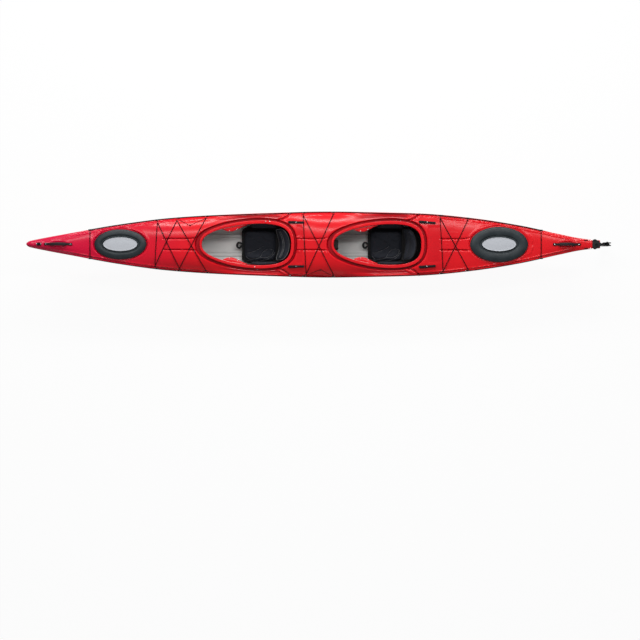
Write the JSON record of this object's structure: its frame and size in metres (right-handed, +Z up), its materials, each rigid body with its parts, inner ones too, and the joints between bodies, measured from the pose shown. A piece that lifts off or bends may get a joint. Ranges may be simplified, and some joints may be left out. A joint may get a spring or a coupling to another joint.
{
  "type": "tandem sea kayak",
  "caption": "Tandem sea kayak with moulded hull, oval hatches, two cockpits with seats and backbands, deck lines and a foot-steered kick-up rudder.",
  "frame": {"origin": "on the middle line at half the hull's length, level with the keel's lowest point, where a cradle or the water holds the boat up", "axes": "+X towards the stern, +Y to starboard, +Z up"},
  "size_m": [5.6235, 0.644, 0.605],
  "materials": {
    "hull_red": "gloss",
    "hatch_rubber": "satin",
    "hatch_plate": "satin",
    "seat_plastic": "satin",
    "seat_fabric": "matte",
    "bulkhead_foam": "matte",
    "webbing": "matte",
    "cord": "matte",
    "rail_metal": "satin",
    "fitting_plastic": "satin",
    "rudder_plastic": "satin",
    "steel": "polished"
  },
  "bodies": {
    "hull": {"hull_bow": "hull_red", "hull_front": "hull_red", "hull_rear": "hull_red", "hull_stern": "hull_red", "front_bulkhead": "bulkhead_foam", "rear_bulkhead": "bulkhead_foam", "centre_pillar": "bulkhead_foam", "front_seat_pan": "seat_plastic", "rear_seat_pan": "seat_plastic", "front_seat_cushion": "seat_fabric", "rear_seat_cushion": "seat_fabric", "front_seat_pull_strap": "webbing", "rear_seat_pull_strap": "webbing", "front_port_thigh_brace": "hull_red", "front_starboard_thigh_brace": "hull_red", "rear_port_thigh_brace": "hull_red", "rear_starboard_thigh_brace": "hull_red", "front_port_foot_rail": "rail_metal", "front_starboard_foot_rail": "rail_metal", "rear_port_foot_rail": "rail_metal", "rear_starboard_foot_rail": "rail_metal", "front_port_deck_strap": "fitting_plastic", "front_starboard_deck_strap": "fitting_plastic", "rear_port_deck_strap": "fitting_plastic", "rear_starboard_deck_strap": "fitting_plastic", "port_perimeter_line": "cord", "starboard_perimeter_line": "cord", "port_steering_conduit": "fitting_plastic", "starboard_steering_conduit": "fitting_plastic", "bow_deck_line": "cord", "front_deck_lacing": "cord", "middle_deck_lacing": "cord", "aft_deck_lacing": "cord", "stern_deck_line": "cord", "bow_carry_handle": "webbing", "stern_carry_handle": "webbing", "bow_tow_fitting": "fitting_plastic", "rudder_mount_pin": "steel"},
    "front_hatch": {"front_hatch_lid": "hatch_rubber", "front_hatch_plate": "hatch_plate"},
    "rear_hatch": {"rear_hatch_lid": "hatch_rubber", "rear_hatch_plate": "hatch_plate"},
    "front_back_rest": {"front_backband": "seat_fabric"},
    "rear_back_rest": {"rear_backband": "seat_fabric"},
    "front_port_footrest": {"front_port_foot_peg": "fitting_plastic"},
    "front_starboard_footrest": {"front_starboard_foot_peg": "fitting_plastic"},
    "rear_port_pedal": {"rear_port_foot_peg": "fitting_plastic"},
    "rear_starboard_pedal": {"rear_starboard_foot_peg": "fitting_plastic"},
    "rudder_steering": {"rudder_yoke": "rudder_plastic", "rudder_head": "rudder_plastic", "rudder_pivot_bolt": "steel"},
    "rudder_lifting": {"rudder_blade": "rudder_plastic"}
  },
  "joints": [
    {"name": "front_hatch_lift", "type": "slide", "parent": "hull", "child": "front_hatch", "axis": [0, 0, 1], "range_m": [0, 0.15]},
    {"name": "rear_hatch_lift", "type": "slide", "parent": "hull", "child": "rear_hatch", "axis": [0, 0, 1], "range_m": [0, 0.15]},
    {"name": "front_backband_tilt", "type": "hinge", "parent": "hull", "child": "front_back_rest", "pos_m": [-0.341, 0, 0.117], "axis": [0, 1, 0], "range_deg": [-50, 4]},
    {"name": "rear_backband_tilt", "type": "hinge", "parent": "hull", "child": "rear_back_rest", "pos_m": [0.882, 0, 0.102], "axis": [0, 1, 0], "range_deg": [-50, 4]},
    {"name": "front_port_footrest_slide", "type": "slide", "parent": "hull", "child": "front_port_footrest", "axis": [0.9939, -0.0904, -0.0638], "range_m": [-0.12, 0.12]},
    {"name": "front_starboard_footrest_slide", "type": "slide", "parent": "hull", "child": "front_starboard_footrest", "axis": [0.9939, 0.0904, -0.0638], "range_m": [-0.12, 0.12]},
    {"name": "rear_port_pedal_slide", "type": "slide", "parent": "hull", "child": "rear_port_pedal", "axis": [0.9994, -0.0267, -0.0221], "range_m": [-0.03, 0.03]},
    {"name": "rear_starboard_pedal_slide", "type": "slide", "parent": "hull", "child": "rear_starboard_pedal", "axis": [0.9994, 0.0267, -0.0221], "range_m": [-0.03, 0.03]},
    {"name": "rudder_steer", "type": "hinge", "parent": "hull", "child": "rudder_steering", "pos_m": [2.713, 0, 0.37], "axis": [0, 0, 1], "range_deg": [-35, 35]},
    {"name": "rudder_kick_up", "type": "hinge", "parent": "rudder_steering", "child": "rudder_lifting", "pos_m": [2.817, 0, 0.3927], "axis": [0, -1, 0], "range_deg": [0, 115]}
  ],
  "couplings": [
    {"joint": "rear_port_pedal_slide", "follows": "rudder_steer", "m_per_rad": 0.045},
    {"joint": "rear_starboard_pedal_slide", "follows": "rudder_steer", "m_per_rad": -0.045}
  ]
}
